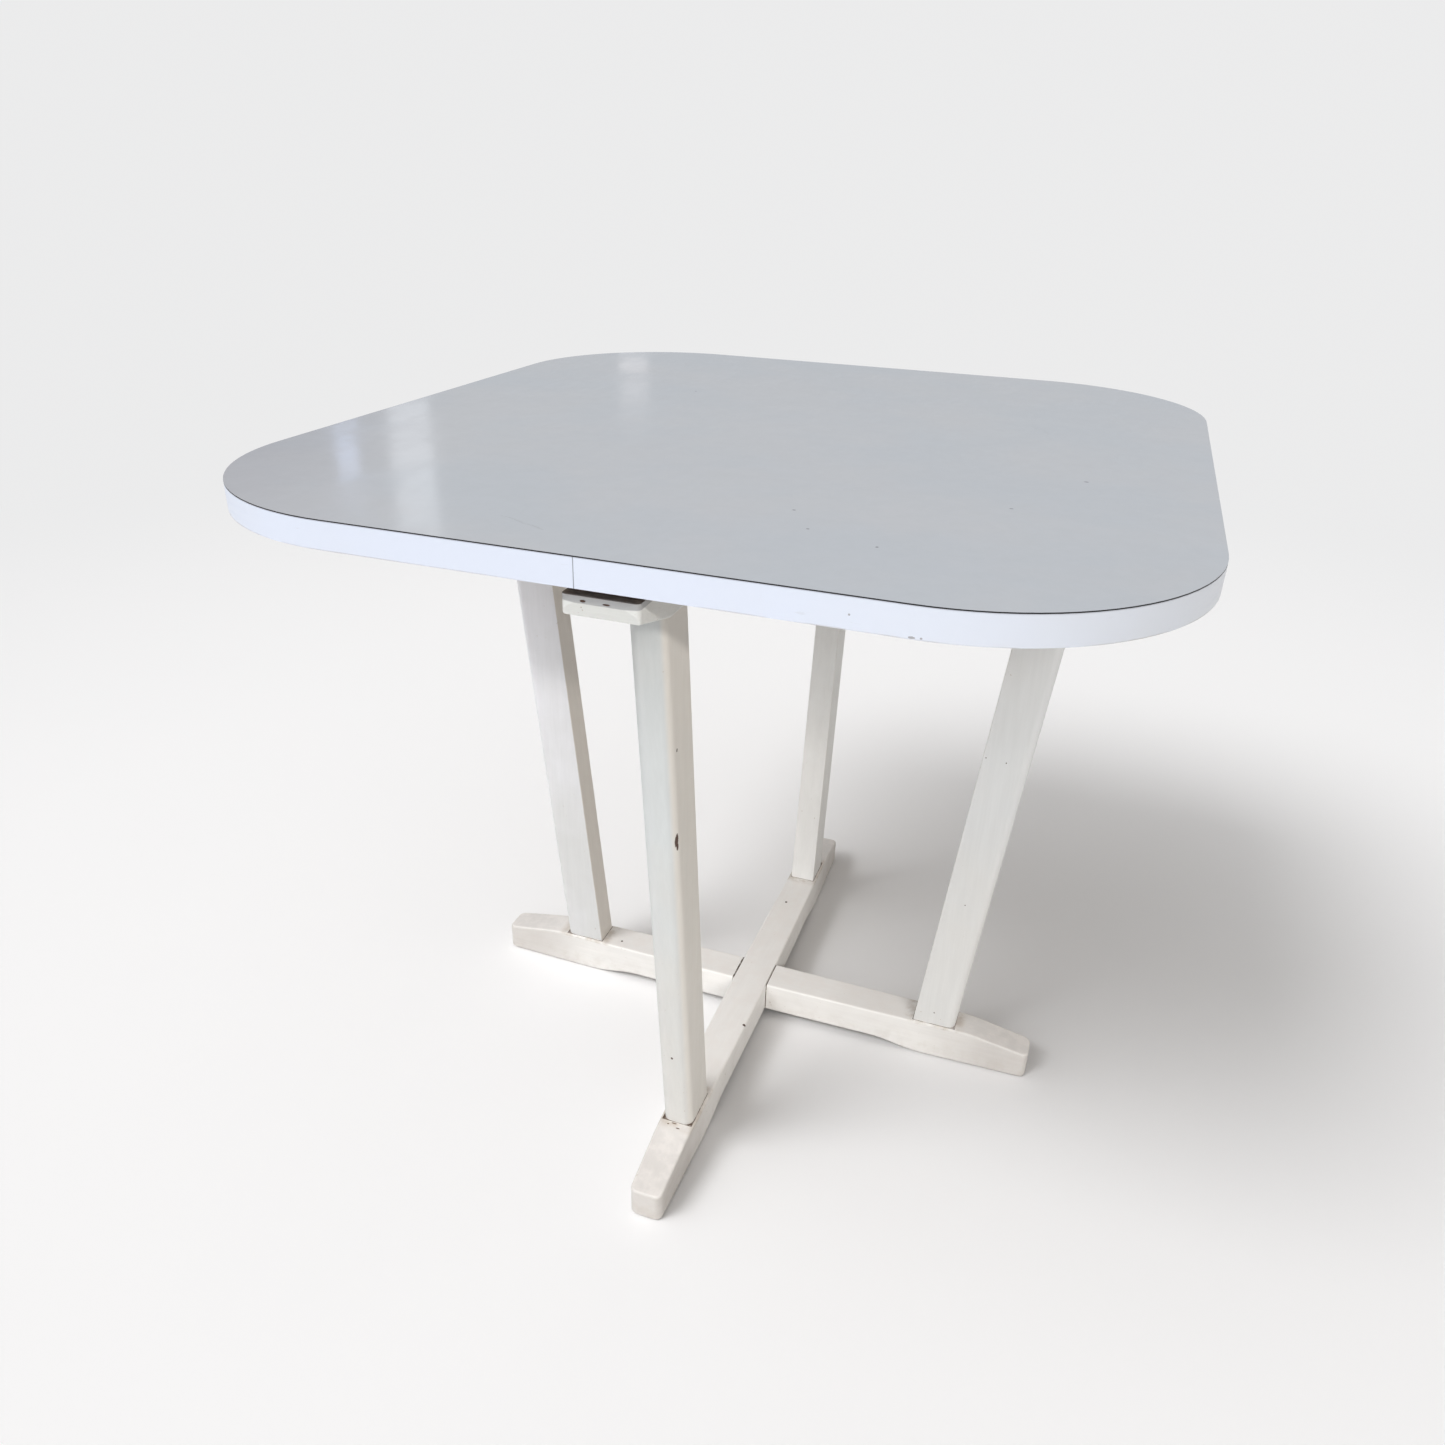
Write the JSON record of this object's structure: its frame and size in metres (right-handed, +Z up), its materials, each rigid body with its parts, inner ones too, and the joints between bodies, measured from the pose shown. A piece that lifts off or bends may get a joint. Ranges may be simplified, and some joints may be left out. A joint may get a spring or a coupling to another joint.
{
  "type": "table",
  "caption": "Square-ish cafe table: grey laminate top with round corners on splayed wooden legs, joined by crossed bearers above and crossed foot rails below.",
  "frame": {"origin": "on the floor under the middle of the table", "axes": "+Z up, +Y towards the back along the top's longer side, +X to the right"},
  "size_m": [0.805, 0.86, 0.72],
  "materials": {
    "grey_laminate": "gloss, faint mottle and fine scratches",
    "white_edge_band": "semi-gloss",
    "backing_sheet": "matt",
    "chipboard": "raw",
    "painted_wood": "brushed off-white paint, satin, worn at the edges",
    "bare_wood": "dark brown stain, matt",
    "screw_steel": "dull zinc"
  },
  "bodies": {
    "root": {"top_laminate": "grey_laminate", "top_core": "chipboard", "backing_laminate": "backing_sheet", "edge_band_left": "white_edge_band", "edge_band_right": "white_edge_band", "packer_front": "bare_wood", "packer_back": "bare_wood", "packer_left": "bare_wood", "packer_right": "bare_wood", "bearer_front_back": "painted_wood", "bearer_side_side": "painted_wood", "leg_front": "painted_wood", "leg_back": "painted_wood", "leg_left": "painted_wood", "leg_right": "painted_wood", "foot_rail_front_back": "painted_wood", "foot_rail_side_side": "painted_wood", "foot_screws": "screw_steel", "head_screws": "screw_steel", "top_screws": "screw_steel", "foot_lap_screw": "screw_steel", "bearer_lap_screw": "screw_steel"}
  },
  "joints": []
}
